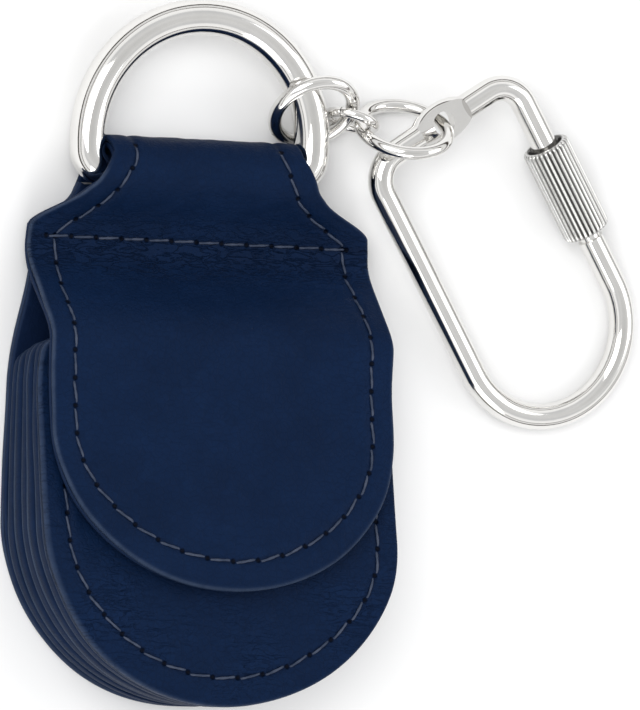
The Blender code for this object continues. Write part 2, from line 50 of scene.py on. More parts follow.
POUCH_X = -0.01452
NECK_X = -0.01535
NECK_DRIFT = 0.006
OUTER_T = 0.00065
LINING_T = 0.00055
GAP = 0.0001
FOOT_Y = -0.03525
ARC_Y = -0.01755
POUCH_HALF = 0.0193
SHOULDER_HALF = 0.0185
BACK_SHOULDER = 0.0172
BACK_GROWTH = 0.015
FOLD_HALF = 0.0104
NECK_SHARE = 0.26
NECK_TOP_Y = 0.02
NECK_TAPER = 0.0041
FLARE_TOP_Y = 0.017
FLARE_LENGTH = 0.005
FLARE_POWER = 1.2
BACK_DROP = 0.0005
FOOT_LEAN = 0.0006
BAR_Y = 0.018
BAR_Z = 0.0033
FOLD_Z = 0.00335
STRIP_END_Y = 0.0105
YOKE_FLAT = 0.0006
YOKE_SEAM_Y = 0.01105
YOKE_TOP = 2.0 * (OUTER_T + LINING_T) + 3.0 * GAP
FLAP_START_Y = 0.0102
FLAP_ARC_Y = -0.00755
FLAP_TIP_Y = -0.02335
FLAP_HALF = 0.01865
FLAP_LIFT = 0.001
FLAP_OVER = 0.00175
MOUTH_Y = (-0.00045, -0.00005, 0.00045, 0.0006, 0.00085, 0.00095)
MOUTH_CORNER = 0.0016
FACE_MOUTH = 0.008
FACE_FOOT = 0.012
FACE_RUN = 0.0245
STACK_BASE = OUTER_T + LINING_T + 2.0 * GAP
MAGNET_Y = -0.0145
MAGNET_R = 0.004

SPACING = 0.00034           # distance between mesh points on the leathers
RIM_POWER = 2.4             # roundness of a cut edge: 2 is a circle, more is squarer
SPINE_PULL = 0.35           # how far the mesh's middle line follows the outline round a U
WOBBLE_WAVE = 0.009         # length of the unevenness of a cut edge
PITCH = 0.00275             # from one needle hole to the next
THREAD_R = 0.000125
HALF_PI = math.pi / 2.0


# ---------------- small helpers


def ease(value):
    t = np.clip(value, 0.0, 1.0)
    return t * t * (3.0 - 2.0 * t)


def waves(x, y, length, count, seed):
    """Smooth seeded noise between about -1 and 1: a sum of sine waves in many directions."""
    source = np.random.default_rng(seed)
    total = np.zeros_like(np.asarray(x, float))
    for _ in range(count):
        turn = source.uniform(0.0, math.tau)
        wave = length * source.uniform(0.6, 1.7)
        phase = source.uniform(0.0, math.tau)
        total += np.sin((x * math.cos(turn) + y * math.sin(turn)) * math.tau / wave + phase)
    return total / math.sqrt(count) * 0.7


def link(item):
    bpy.context.scene.collection.objects.link(item)
    return item


def plain_solid(name, points, faces):
    mesh = bpy.data.meshes.new(name)
    mesh.from_pydata(points, [], faces)
    return link(bpy.data.objects.new(name, mesh))


def mesh_piece(name, points, faces, material, sharp, attributes=None):
    """A smooth-shaded mesh, with edges sharper than this many degrees kept, and attributes by point."""
    item = plain_solid(name, points.tolist(), faces)
    mesh = item.data
    mesh.validate()
    mesh.update()
    for key, values in (attributes or {}).items():
        kind = "FLOAT_VECTOR" if values.ndim == 2 else "FLOAT"
        layer = mesh.attributes.new(key, kind, "POINT")
        layer.data.foreach_set("vector" if values.ndim == 2 else "value", values.astype(np.float32).ravel())
    mesh.shade_smooth()
    mesh.set_sharp_from_angle(angle=math.radians(sharp))
    mesh.materials.append(material)
    return item


def band_faces(rows, sides, closed=False):
    """Quads round rings of points, joined end to end, or capped."""
    faces = []
    for a in range(rows if closed else rows - 1):
        after = (a + 1) % rows
        for b in range(sides):
            c = (b + 1) % sides
            faces.append([a * sides + b, a * sides + c, after * sides + c, after * sides + b])
    if not closed:
        faces.append(list(range(sides))[::-1])
        faces.append([(rows - 1) * sides + b for b in range(sides)])
    return faces


def run(line):
    """Length along a line of points, at each point."""
    return np.concatenate([[0.0], np.cumsum(np.hypot(*np.diff(line, axis=0).T))])


def pick(line, length, places):
    """Points of a line at these lengths along it."""
    return np.column_stack([np.interp(places, length, line[:, 0]), np.interp(places, length, line[:, 1])])


def evenly(line, count):
    length = run(line)
    return pick(line, length, np.linspace(0.0, length[-1], count))


def inward_of(line):
    """Unit vectors to the inner side of the left half of an outline. The last one points up the middle."""
    tangent = unit(np.gradient(line, axis=0))
    inward = np.column_stack([tangent[:, 1], -tangent[:, 0]])
    inward[-1] = (0.0, -1.0)
    return inward


def circle(sides):
    return np.linspace(0.0, math.tau, sides, endpoint=False)


def unit(rows):
    return rows / np.linalg.norm(rows, axis=1)[:, None]


def bell(value, width):
    return np.exp(-((value / width) ** 2))


def hold(item, body, node):
    """Puts a piece on its body, in place of its CAD node."""
    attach(item, body)
    if node:
        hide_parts(node)


def weld(points, faces, attributes):
    """Joins points at the same place, and drops the faces that fold away."""
    keys = np.round(points * 2e7).astype(np.int64)
    _, first, back = np.unique(keys, axis=0, return_index=True, return_inverse=True)
    back = back.reshape(-1)
    clean = []
    for face in back[faces].tolist():
        ring = [face[i] for i in range(len(face)) if face[i] != face[i - 1]]
        if len(ring) >= 3 and len(set(ring)) == len(ring):
            clean.append(ring)
    return points[first], clean, {key: values[first] for key, values in attributes.items()}


# ---------------- outlines and heights


def neck_half(y, shoulder, drop=0.0):
    taper = np.clip((NECK_TOP_Y - y) / NECK_TAPER, 0.0, 1.0)
    flare = ease(np.clip((FLARE_TOP_Y - drop - y) / FLARE_LENGTH, 0.0, 1.0) ** FLARE_POWER)
    return FOLD_HALF + (shoulder - FOLD_HALF) * (NECK_SHARE * taper + (1.0 - NECK_SHARE) * flare)


def back_half(y):
    grow = ease((YOKE_SEAM_Y - y) / BACK_GROWTH)
    return neck_half(y, BACK_SHOULDER, BACK_DROP) + (POUCH_HALF - BACK_SHOULDER) * grow


def front_half(y):
    return neck_half(y, SHOULDER_HALF)


def pouch_centre(y):
    return POUCH_X + FOOT_LEAN * ease((ARC_Y + 0.004 - y) / 0.014)


def neck_centre(y):
    return POUCH_X + (NECK_X - POUCH_X) * ease((y - YOKE_SEAM_Y) / NECK_DRIFT)


def face_z(y):
    return FACE_MOUTH + (FACE_FOOT - FACE_MOUTH) * ease((MOUTH_Y[-1] - y) / FACE_RUN)


def flap_top(y):
    over = face_z(y) + FLAP_OVER
    rise = ease((FLAP_START_Y - y) / (FLAP_START_Y - MOUTH_Y[-1]))
    start = FLAP_ARC_Y - 0.004
    lift = np.clip((start - y) / (start - FLAP_TIP_Y), 0.0, 1.0)
    return np.where(y > MOUTH_Y[-1], YOKE_TOP + (over - YOKE_TOP) * rise, over + FLAP_LIFT * lift * lift)


class Path:
    """A curve in the (y, z) plane by its length s, with normals to the right of its direction."""

    def __init__(self, points, step=0.00003):
        points = np.asarray(points, float)
        s = run(points)
        self.s = np.linspace(0.0, s[-1], int(s[-1] / step) + 2)
        self.y = np.interp(self.s, s, points[:, 0])
        self.z = np.interp(self.s, s, points[:, 1])
        kernel = np.ones(9) / 9.0
        dy, dz = (np.convolve(np.pad(np.gradient(v), 4, "edge"), kernel, "valid") for v in (self.y, self.z))
        size = np.hypot(dy, dz)
        self.ny, self.nz = dz / size, -dy / size

    def normal(self, s):
        return np.interp(s, self.s, self.ny), np.interp(s, self.s, self.nz)

    def at(self, s, n):
        ny, nz = self.normal(s)
        return np.interp(s, self.s, self.y) + n * ny, np.interp(s, self.s, self.z) + n * nz

    def find(self, y, after=0.0):
        """Length at which the path, from 'after' on, is at this y. It has to run one way there."""
        part = self.s >= after
        ys, ss = self.y[part], self.s[part]
        if ys[-1] < ys[0]:
            ys, ss = ys[::-1], ss[::-1]
        return np.interp(y, ys, ss)


def front_path():
    """Outer face of the strip: a little of the back, the fold, the yoke and the flap."""
    points = [(y, 0.0) for y in np.linspace(JOIN_Y, BAR_Y, 20)]
    for turn in np.linspace(0.0, math.pi, 90)[1:]:
        points.append((BAR_Y + FOLD_Z * math.sin(turn), FOLD_Z - FOLD_Z * math.cos(turn)))
    flat = STRIP_END_Y + YOKE_FLAT
    for y in np.linspace(BAR_Y, STRIP_END_Y, 160)[1:]:
        points.append((y, YOKE_TOP + (2.0 * FOLD_Z - YOKE_TOP) * float(ease((y - flat) / (BAR_Y - flat)))))
    for y in np.linspace(FLAP_START_Y, FLAP_TIP_Y, 500):
        points.append((y, float(flap_top(np.array(y)))))
    return Path(points)


# ---------------- leather sheets


def round_end(path, half, start_y, tip_y, inset, after=0.0):
    """The left half of a U outline's round end."""
    turn = np.linspace(0.0, HALF_PI, 900)[1:]
    y = start_y - (start_y - tip_y) * np.sin(turn)
    end = np.column_stack([-(half - inset) * np.cos(turn), path.find(y, after) - inset * np.sin(turn)])
    end[-1] = (0.0, path.find(tip_y, after) - inset)
    return end


def rim_height(d, radius):
    """Share of the half thickness at a distance d from the cut edge."""
    t = np.clip(d / radius, 0.0, 1.0)
    return (1.0 - (1.0 - t) ** RIM_POWER) ** (1.0 / RIM_POWER)


def rim_steps(radius, count=6):
    angles = np.linspace(0.0, HALF_PI, count + 1)
    return radius * (1.0 - np.cos(angles) ** (2.0 / RIM_POWER))


def spaced(length, round_start, radius):
    """Places along one side, from its start, closer together where the start is rounded."""
    first = rim_steps(radius) if round_start else np.array([0.0])
    rest = np.linspace(first[-1], length, int((length - first[-1]) / SPACING) + 2)[1:]
    return np.concatenate([first, rest])


def sheet(name, path, left, arc_s, centre, thickness, material, rims, wobble, seed, depth=0.0,
          round_start=False, disp_top=None, disp_bottom=None, seams=None, plumb=None, rim_look=None):
    """A closed leather of this half outline, wrapped on a path.

    Depth: its outer face under the path. Rims: rounding of the outer and inner edge. Plumb: widening by the
    real y and the path's y and s. Rim look: share of the edge colour, edge paint with a painted highlight, by
    s."""
    radius = max(rims)
    length = run(left)
    side = pick(left, length, spaced(length[-1], round_start, radius))
    insets = np.concatenate([rim_steps(radius), [radius * 1.6]])
    columns = int(np.abs(side[:, 0]).max() / SPACING)
    start_s = side[0, 1]

    points = []
    for way in (1.0, -1.0):
        inward = inward_of(side)
        if round_start:
            lean = ease((side[:, 1] - start_s - 0.0016) / 0.001)[:, None]
            inward = inward * lean + np.array([1.0, 0.0]) * (1.0 - lean)
        inward = unit(inward)
        noise = waves(side[:, 1], side[:, 1] * 0.0 + way * 0.01, WOBBLE_WAVE, 5, seed) * wobble
        if not round_start:
            noise = noise * ease((side[:, 1] - start_s) / 0.004)
        noise = noise * ease(np.abs(side[:, 0]) / 0.006)
        reach = insets[None, :, None] + np.maximum(noise, -0.0001)[:, None, None]
        grid = side[:, None, :] + inward[:, None, :] * reach
        spine_s = np.where(side[:, 1] < arc_s, side[:, 1], arc_s + (side[:, 1] - arc_s) * SPINE_PULL)
        spine = np.column_stack([np.zeros(len(side)), spine_s])
        t = np.linspace(0.0, 1.0, columns + 1)[1:]
        inner = grid[:, -1:, :] * (1.0 - t)[None, :, None] + spine[:, None, :] * t[None, :, None]
        whole = np.concatenate([grid, inner], axis=1)
        whole[:, :, 0] *= way
        points.append(whole)
    rows, cols = points[0].shape[:2]
    flat = np.concatenate([p.reshape(-1, 2) for p in points])
    d = np.tile(np.concatenate([insets, np.ones(columns)]), 2 * rows)       # distance from the cut edge
    if round_start:
        d = np.minimum(d, np.abs(flat[:, 1] - start_s))
    x, s = flat[:, 0], flat[:, 1]
    y0 = path.at(s, 0.0)[0]
    thick = thickness(y0) if callable(thickness) else thickness
    middle = -depth - thick / 2.0
    up = middle + thick / 2.0 * rim_height(d, rims[0])
    down = middle - thick / 2.0 * rim_height(d, rims[1])
    seam_data = {}
    for key, (polyline, start_at, scale) in (seams or {}).items():
        along, across = seam_coordinates(flat, polyline)
        seam_data[key] = ((along - start_at) * scale, across)
    inside = ease(d / radius)
    if disp_top is not None:
        up = up + disp_top(x, y0, s, seam_data) * inside
    if disp_bottom is not None:
        down = down + disp_bottom(x, y0, s, seam_data) * inside
    result = []
    for n in (up, down):
        y, z = path.at(s, n)
        if plumb is None:
            result.append(np.column_stack([centre(y0) + x, y, z]))
        else:
            result.append(np.column_stack([centre(y) + x * plumb(y, y0, s), y, z]))
    # one block of points per side and face, four in all
    block = rows * cols
    j, k = np.meshgrid(np.arange(rows - 1), np.arange(cols - 1), indexing="ij")
    base = (j * cols + k).reshape(-1)
    left_top = np.column_stack([base, base + cols, base + cols + 1, base + 1])
    right_top = left_top[:, ::-1] + block
    faces = [left_top, right_top, left_top[:, ::-1] + 2 * block, right_top[:, ::-1] + 2 * block]
    if not round_start:     # a cut end across the strip
        ring = np.arange(cols - 1)
        wall = np.column_stack([ring, ring + 1, ring + 1 + 2 * block, ring + 2 * block])
        faces += [wall, wall[:, ::-1] + block]
    points = np.vstack(result)
    attributes = {
        "plan": np.column_stack([twice(x), twice(s), np.repeat([0.0, 0.5], len(x))]),
        # share of the edge colour: edge paint with a painted highlight, strongest at the rounded rim's
        # outermost middle
        "rim": twice((1.0 - ease(d / (radius * 1.25))) * (1.0 if rim_look is None else rim_look(s))),
    }
    for key, (along, across) in seam_data.items():
        attributes[key] = np.column_stack([twice(along), twice(across), np.zeros(2 * len(along))])
    points, faces, attributes = weld(points, np.vstack(faces), attributes)
    return mesh_piece(name, points, faces, material, 60, attributes)


def twice(values):
    return np.concatenate([values, values])


def seam_coordinates(points, polyline):
    """Length along a seam and distance from it, for points in plan."""
    size = run(polyline)
    count = int(size[-1] / 0.00008)
    s = np.linspace(0.0, size[-1], count)
    px, py = pick(polyline, size, s).T
    tx, ty = np.gradient(px), np.gradient(py)
    norm = np.hypot(tx, ty)
    tx, ty = tx / norm, ty / norm
    tree = kdtree.KDTree(count)
    for i in range(count):
        tree.insert((px[i], py[i], 0.0), i)
    tree.balance()
    index = np.array([tree.find((a, b, 0.0))[1] for a, b in points.tolist()])
    dx, dy = points[:, 0] - px[index], points[:, 1] - py[index]
    return s[index] + dx * tx[index] + dy * ty[index], dx * ty[index] - dy * tx[index]


# ---------------- materials


class Nodes:
    """Shorthand for building one node tree."""

    def __init__(self, tree):
        self.tree = tree

    def join(self, source, target):
        self.tree.links.new(source, target)

    def put(self, socket, value):
        if isinstance(value, (int, float, tuple)):
            socket.default_value = value
        else:
            self.join(value, socket)

    def node(self, kind, inputs=(), **settings):
        """A new node. Inputs: pairs of a socket's name or number and a value or another node's output."""
        node = self.tree.nodes.new(kind)
        for key, value in settings.items():
            setattr(node, key, value)
        for key, value in inputs:
            self.put(node.inputs[key], value)
        return node

    def math(self, operation, a, b=0.0, c=0.0):
        return self.node("ShaderNodeMath", enumerate((a, b, c)), operation=operation).outputs[0]

    def times(self, a, b):
        return self.math("MULTIPLY", a, b)

    def split(self, vector):
        return self.node("ShaderNodeSeparateXYZ", [(0, vector)]).outputs

    def span(self, value, low, high, to_low=0.0, to_high=1.0):
        inputs = enumerate((value, low, high, to_low, to_high))
        return self.node("ShaderNodeMapRange", inputs, interpolation_type="SMOOTHSTEP").outputs[0]

    def mix(self, share, a, b):
        return self.node("ShaderNodeMix", [(0, share), (6, a), (7, b)], data_type="RGBA").outputs[2]

    def attribute(self, name, output="Vector"):
        return self.node("ShaderNodeAttribute", attribute_name=name).outputs[output]

    def place(self, output):
        return self.node("ShaderNodeTexCoord").outputs[output]

    def noise(self, vector, scale, detail=2.0, rough=0.5, distortion=0.0):
        names = ("Vector", "Scale", "Detail", "Roughness", "Distortion")
        inputs = zip(names, (vector, scale, detail, rough, distortion))
        return self.node("ShaderNodeTexNoise", inputs).outputs[0]

    def voronoi(self, vector, scale, feature="F1"):
        inputs = [("Vector", vector), ("Scale", scale)]
        return self.node("ShaderNodeTexVoronoi", inputs, feature=feature).outputs["Distance"]

    def bump(self, height, distance, strength=1.0, after=None):
        inputs = [("Strength", strength), ("Distance", distance), ("Height", height)]
        if after is not None:
            inputs.append(("Normal", after))
        return self.node("ShaderNodeBump", inputs).outputs[0]


class Surface(Nodes):
    """A new material with its shader."""

    def __init__(self, name):
        self.material = bpy.data.materials.new(name)
        self.material.use_nodes = True
        super().__init__(self.material.node_tree)
        self.shader = self.tree.nodes["Principled BSDF"]

    def shade(self, **values):
        """Sets or joins the shader's inputs, and gives the material."""
        for key, value in values.items():
            self.put(self.shader.inputs[key.replace("_", " ")], value)
        return self.material


def toned(colour, share):
    return tuple(min(1.0, c * share) for c in colour[:3]) + (1.0,)


def leather_material(name, base, edge, grain=1.0, seams=(), gloss=0.46, rim_share=0.72, rim_power=1.0,
                     face_rim=1.0, wrinkle=0.18):
    """Fine-grained dyed leather with pores, creases with painted shade in their lines, needle holes painted
    dark as shade along its seams, and edges in edge paint with a painted highlight.

    Rim share and power: how much of the edge paint and its painted highlight shows and how fast it fades.
    Face rim: its share on the outer face. Wrinkle: strength of the fine cross lines away from the yoke."""
    n = Surface(name)
    plan = n.attribute("plan")
    rim = n.attribute("rim", "Fac")
    pebble = n.voronoi(plan, 3400.0)
    crack = n.voronoi(plan, 1500.0, "DISTANCE_TO_EDGE")
    pore = n.noise(plan, 5200.0, 2.0, 0.6)
    cloud = n.noise(plan, 90.0, 3.0, 0.55)
    streak = n.noise(plan, 520.0, 4.0, 0.6, 0.4)
    # shade tone: a darker navy used as painted shade in the grain's cracks and the wrinkles' lines
    shade_tone = toned(base, 0.55)
    colour = n.mix(n.span(cloud, 0.3, 0.7), toned(base, 0.88), toned(base, 1.13))
    colour = n.mix(n.times(n.span(streak, 0.5, 0.72), 0.28), colour, toned(base, 1.45))
    # painted shade: the grain's cracks are darkened, as if shaded
    colour = n.mix(n.times(n.span(crack, 0.0, 0.1, 1.0, 0.0), 0.3 * grain), colour, shade_tone)

    patchy = n.span(streak, 0.34, 0.66, 0.72, 1.0)
    patchy = n.times(patchy, n.span(n.split(plan)[2], 0.05, 0.35, face_rim, 1.0))
    # edge paint with a painted highlight: a lighter colour along the rounded rims, narrowed by the rim power
    # to a light line
    band = n.times(n.math("POWER", rim, rim_power), patchy)
    colour = n.mix(n.times(band, rim_share), colour, edge)

    height = n.math("ADD", n.times(pebble, 0.55), n.times(pore, 0.5))
    height = n.math("ADD", height, n.times(n.span(crack, 0.0, 0.14), 0.55))
    normal = n.bump(height, 0.000028 * grain, 0.9)
    normal = n.bump(streak, 0.0001, 0.6, normal)

    squeeze = n.node("ShaderNodeVectorMath", [(0, plan), (1, (0.3, 1.0, 1.0))], operation="MULTIPLY")
    fold = n.noise(squeeze.outputs[0], 1500.0, 3.0, 0.55, 0.8)
    line = n.span(n.math("ABSOLUTE", n.math("SUBTRACT", fold, 0.5)), 0.0, 0.055, 1.0, 0.0)
    where = n.span(cloud, 0.42, 0.66, 0.15 * wrinkle, wrinkle)
    if "yoke" in seams:     # more wrinkles on both sides of the yoke seam
        away = n.split(n.attribute("yoke"))[1]
        below = n.times(n.span(away, -0.006, -0.0012), n.span(away, 0.0, 0.0002, 1.0, 0.0))
        above = n.times(n.span(away, 0.0045, 0.0008), n.span(away, 0.0, 0.0002))
        where = n.math("MAXIMUM", where, n.math("MAXIMUM", below, n.times(above, 0.55)))
    line = n.times(line, where)
    # painted shade: the wrinkles' lines are darkened, as if shaded, besides their bump
    colour = n.mix(n.times(line, 0.5), colour, shade_tone)
    normal = n.bump(n.times(line, -1.0), 0.00011, 0.9, normal)

    for key in seams:
        along, across, _ = n.split(n.attribute(key))
        turn = n.math("PINGPONG", along, PITCH / 2.0)
        here = n.math("SQRT", n.math("ADD", n.times(turn, turn), n.times(across, across)))
        hole = n.span(here, 0.00012, 0.00034, 1.0, 0.0)
        # painted shade: a dark band along the seam's groove
        crease = n.span(n.math("ABSOLUTE", across), 0.0001, 0.00045, 1.0, 0.0)
        colour = n.mix(n.times(crease, 0.28), colour, (0.002, 0.004, 0.012, 1.0))
        # painted shade: each needle hole is painted near-black for the shade inside it, only bumped, not cut
        colour = n.mix(n.times(hole, 0.92), colour, (0.001, 0.0015, 0.004, 1.0))
        normal = n.bump(n.times(hole, -1.0), 0.00018, 0.9, normal)
    rough = n.span(cloud, 0.3, 0.7, gloss - 0.03, gloss + 0.05)
    return n.shade(Base_Color=colour, Roughness=rough, Specular_IOR_Level=0.045, Normal=normal)


def thread_material():
    """Waxed two-ply thread."""
    n = Surface("waxed_thread")
    plan = n.attribute("plan")
    fibre = n.noise(plan, 9000.0, 3.0, 0.6)
    patch = n.span(n.noise(plan, 700.0, 2.0), 0.35, 0.65)
    colour = n.mix(patch, (0.015, 0.026, 0.054, 1.0), (0.04, 0.053, 0.088, 1.0))
    colour = n.mix(n.times(n.span(fibre, 0.3, 0.6, 1.0, 0.0), 0.4), colour, (0.02, 0.03, 0.065, 1.0))
    rough = n.span(fibre, 0.3, 0.7, 0.5, 0.72)
    normal = n.bump(fibre, 0.00003, 0.7)
    return n.shade(Base_Color=colour, Roughness=rough, Specular_IOR_Level=0.35, Normal=normal)


def metal_material(name, colour, rough_low, rough_high, scratch=1.0, grooved=False):
    """Polished nickel plate with a faint haze, hairlines and tiny dents, and painted shade darkening its
    grooves.
    """
    n = Surface(name)
    place = n.place("Object")
    haze = n.noise(place, 300.0, 4.0, 0.6)
    hair = n.noise(place, 2600.0, 5.0, 0.7, 1.5)
    dent = n.noise(place, 900.0, 1.0)
    tint = n.mix(n.span(haze, 0.3, 0.7), toned(colour, 0.95), colour)
    if grooved:
        # painted shade: the grooves and the bore are darkened towards black
        tint = n.mix(n.times(n.attribute("groove", "Fac"), 0.88), tint, (0.07, 0.068, 0.065, 1.0))
    rough = n.span(haze, 0.3, 0.75, rough_low, rough_high)
    normal = n.bump(dent, 0.000012, 0.35 * scratch, n.bump(hair, 0.000003, 0.35 * scratch))
    return n.shade(Base_Color=tint, Metallic=1.0, Roughness=rough, Normal=normal)


NAVY = (0.003, 0.0112, 0.0375, 1.0)
# edge paint, lightened into a painted highlight along the rounded rims
EDGE_PAINT_AND_HIGHLIGHT = (0.042, 0.062, 0.106, 1.0)
leather_front_mat = leather_material("navy_leather", NAVY, EDGE_PAINT_AND_HIGHLIGHT, 1.0, ("seam", "yoke"))
leather_back_mat = leather_material("navy_leather_back", NAVY, EDGE_PAINT_AND_HIGHLIGHT, 1.0, ("seam",))
lining_mat = leather_material(
    "navy_lining", (0.0045, 0.012, 0.038, 1.0), (0.012, 0.024, 0.058, 1.0), 0.7, gloss=0.58,
)
leaf_mat = leather_material(
    "navy_pocket_leather", (0.0028, 0.0105, 0.036, 1.0), (0.04, 0.064, 0.114, 1.0), 0.9,
    # rim power and face rim narrow the painted highlight to a light line, mostly on the leaves' lower sides
    gloss=0.5, rim_share=0.9, rim_power=3.0, face_rim=0.12,
)
pocket_mat = leather_material(
    "navy_pocket_front", NAVY, (0.028, 0.046, 0.09, 1.0), 1.3, ("seam",),
    gloss=0.48, rim_share=0.8, rim_power=2.0, wrinkle=0.75,
)
thread_mat = thread_material()
nickel_mat = metal_material("polished_nickel", (0.79, 0.78, 0.76, 1.0), 0.06, 0.11)
ribbed_mat = metal_material("ribbed_nickel", (0.74, 0.735, 0.72, 1.0), 0.07, 0.12, grooved=True)
magnet_mat = metal_material("plated_magnet", (0.5, 0.5, 0.51, 1.0), 0.22, 0.36, 2.0)

# ---------------- the folded strip and the flap

JOIN_Y = 0.0165            # on the underside, where the back and the folded front meet
PATH = front_path()
FOLD_END = (BAR_Y - JOIN_Y) + math.pi * FOLD_Z
FRONT_FROM = FOLD_END * 0.999
S_YOKE = float(PATH.find(YOKE_SEAM_Y, FRONT_FROM))
S_ARC = float(PATH.find(FLAP_ARC_Y, FRONT_FROM))


def front_outline(inset=0.0, skived=False):
    """Half of the front leather's outline: neck, shoulder, flap side and round tip."""
    s = np.linspace(0.0, S_ARC, 2400)
    y = PATH.at(s, 0.0)[0]
    back_share = ease((BAR_Y - 0.0002 - y) / 0.0008) * (s < FOLD_END / 2.0)
    half = front_half(y) * (1.0 - back_share) + back_half(y) * back_share
    blend = ease((y - FLAP_START_Y) / 0.0024)
    half = np.where(s > FOLD_END, FLAP_HALF + (half - FLAP_HALF) * blend, half)
    if skived:      # the lining is cut back beside the ring, which swings there
        cut_back = FOLD_HALF + (half - FOLD_HALF) * ease((0.0178 - y) / 0.0022)
        half = np.where(y > 0.0155, cut_back, half)
    left = np.column_stack([-(half - inset), s])
    tip = round_end(PATH, FLAP_HALF, FLAP_ARC_Y, FLAP_TIP_Y, inset, FRONT_FROM)
    return np.vstack([left, tip])


def mirrored(seam):
    """A seam down the left side, and back up the right."""
    return np.vstack([seam, seam[::-1][1:] * np.array([-1.0, 1.0])])


def front_seam():
    """The seam down the neck and round the flap, in plan, as (line, length where a stitch starts, scale)."""
    side = evenly(front_outline(), 1600)
    s = side[:, 1]
    inset = 0.0024 + 0.00045 * bell(s - S_YOKE - 0.0012, 0.004)
    inset += 0.00055 * ease((s - S_ARC - 0.003) / 0.011)
    seam = side + inward_of(side) * inset[:, None]
    seam[-1, 0] = 0.0
    # the inset line crosses itself where the outline bends sharply: the loops go, and the rest is smoothed
    clear = np.array([np.hypot(*(side[::4] - point).T).min() for point in seam])
    seam = evenly(seam[clear > inset * 0.975], 1600)
    kernel = np.hanning(61)
    kernel /= kernel.sum()
    padded = [np.pad(seam[:, k], 30, "reflect", reflect_type="odd") for k in (0, 1)]
    seam = np.column_stack([np.convolve(values, kernel, "valid") for values in padded])
    seam[-1, 0] = 0.0
    seam = seam[seam[:, 1] > FOLD_END * 0.62]
    whole = mirrored(seam)
    length = run(whole)
    first = float(np.interp(S_YOKE, seam[:, 1], length[:len(seam)]))
    last = length[-1] - first
    scale = round((last - first) / PITCH) * PITCH / (last - first)
    return whole, first, scale


FRONT_SEAM = front_seam()
YOKE_END = SHOULDER_HALF - 0.0006
YOKE_LINE = (np.array([(-YOKE_END, S_YOKE), (YOKE_END, S_YOKE)]), 0.0011, 1.0)


def broad(x, y):
    """Slow rise and fall of the flap's leathers, outwards only."""
    over = ease((FLAP_START_Y - y) / 0.004)
    side = ease((0.0186 - np.abs(x)) / 0.004)
    crown = 0.00016 * ease((0.016 - np.abs(x)) / 0.016) * ease((0.006 - y) / 0.006)
    return (0.00005 * (1.0 + waves(x, y, 0.012, 7, 31)) * side + crown) * over


def seam_groove(across, depth, width=0.0003, lip=0.0, lip_at=0.001):
    """A seam pulled into the leather, with a low lip on each side."""
    return lip * bell(np.abs(across) - lip_at, 0.0005) - depth * bell(across, width)


BEND_CREASES = (            # distance past the yoke seam in m, depth in micrometres, width in mm
    (0.001, 82.5, 0.16), (0.0017, 60.0, 0.14), (0.0025, 69.0, 0.17), (0.0034, 45.0, 0.18),
    (0.0046, 33.0, 0.22), (-0.0014, 30.0, 0.16), (-0.0023, 27.0, 0.16),
)


def front_top(x, y, s, seams):
    """Relief of the outer face: the seams' grooves, the bend's creases and small wrinkles."""
    groove = seam_groove(seams["seam"][1], 0.0001, lip=0.00004)
    groove += seam_groove(seams["yoke"][1], 0.00011, 0.00028, 0.00004, 0.0009)
    below = s - S_YOKE
    flat = x * 0.0
    curve = 0.00045 * waves(x, flat, 0.009, 4, 11)
    crease = np.zeros_like(x)
    for place, depth, width in BEND_CREASES:
        seed = int(abs(place) * 1e6)
        bend = curve * (0.5 + place * 120.0) + 0.00016 * waves(x, flat, 0.0045, 4, seed)
        share = 0.55 + 0.45 * waves(x, flat + place, 0.016, 4, seed + 3)
        crease -= depth * 1e-6 * share * bell(below - place - bend, width * 0.001)
    off_flap = 1.0 - ease((s - S_YOKE - 0.002) / 0.002)
    small = 0.00002 * waves(x, s, 0.0022, 9, 21) * (s > FOLD_END * 0.5)
    fold = 0.00002 * waves(x, s, 0.004, 7, 22) * off_flap
    return groove + crease + small + fold + front_bottom(x, y, s, seams)


def front_bottom(x, y, s, seams):
    return np.where(s > FOLD_END, broad(x, y), 0.0)


def plumb_cut(y, y0, s):
    """Widening that keeps the neck's and shoulders' edges upright where the yoke slopes."""
    share = front_half(y) / front_half(y0)
    return np.where((s > FOLD_END / 2.0) & (y0 > FLAP_START_Y) & (y0 < NECK_TOP_Y), share, 1.0)


def plumb_skived(y, y0, s):
    """The same for the lining, which is cut back to the fold's width beside the ring."""
    return 1.0 + (plumb_cut(y, y0, s) - 1.0) * ease((0.0172 - y0) / 0.0015)


def fold_shaded_rim(s):
    """The edge colour is pale on the yoke and flap; inside the fold it is mostly left off, as painted shade
    for the fold's dark inside.
    """
    return 0.12 + 0.88 * ease((s - FOLD_END + 0.0005) / 0.0015)


front = sheet(
    "leather_front", PATH, front_outline(), S_ARC, neck_centre, OUTER_T, leather_front_mat,
    rims=(0.0003, 0.00022), wobble=0.00006, seed=3, disp_top=front_top, disp_bottom=front_bottom,
    seams={"seam": FRONT_SEAM, "yoke": YOKE_LINE}, plumb=plumb_cut, rim_look=fold_shaded_rim,
)
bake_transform(front)
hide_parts("flap_outer")

lining = sheet(
    "lining_front", PATH, front_outline(0.00004, True), S_ARC, neck_centre, LINING_T, lining_mat,
    rims=(0.00012, 0.00024), wobble=0.00005, seed=9, depth=OUTER_T + GAP, disp_top=front_bottom,
    disp_bottom=front_bottom, plumb=plumb_skived, rim_look=fold_shaded_rim,
)


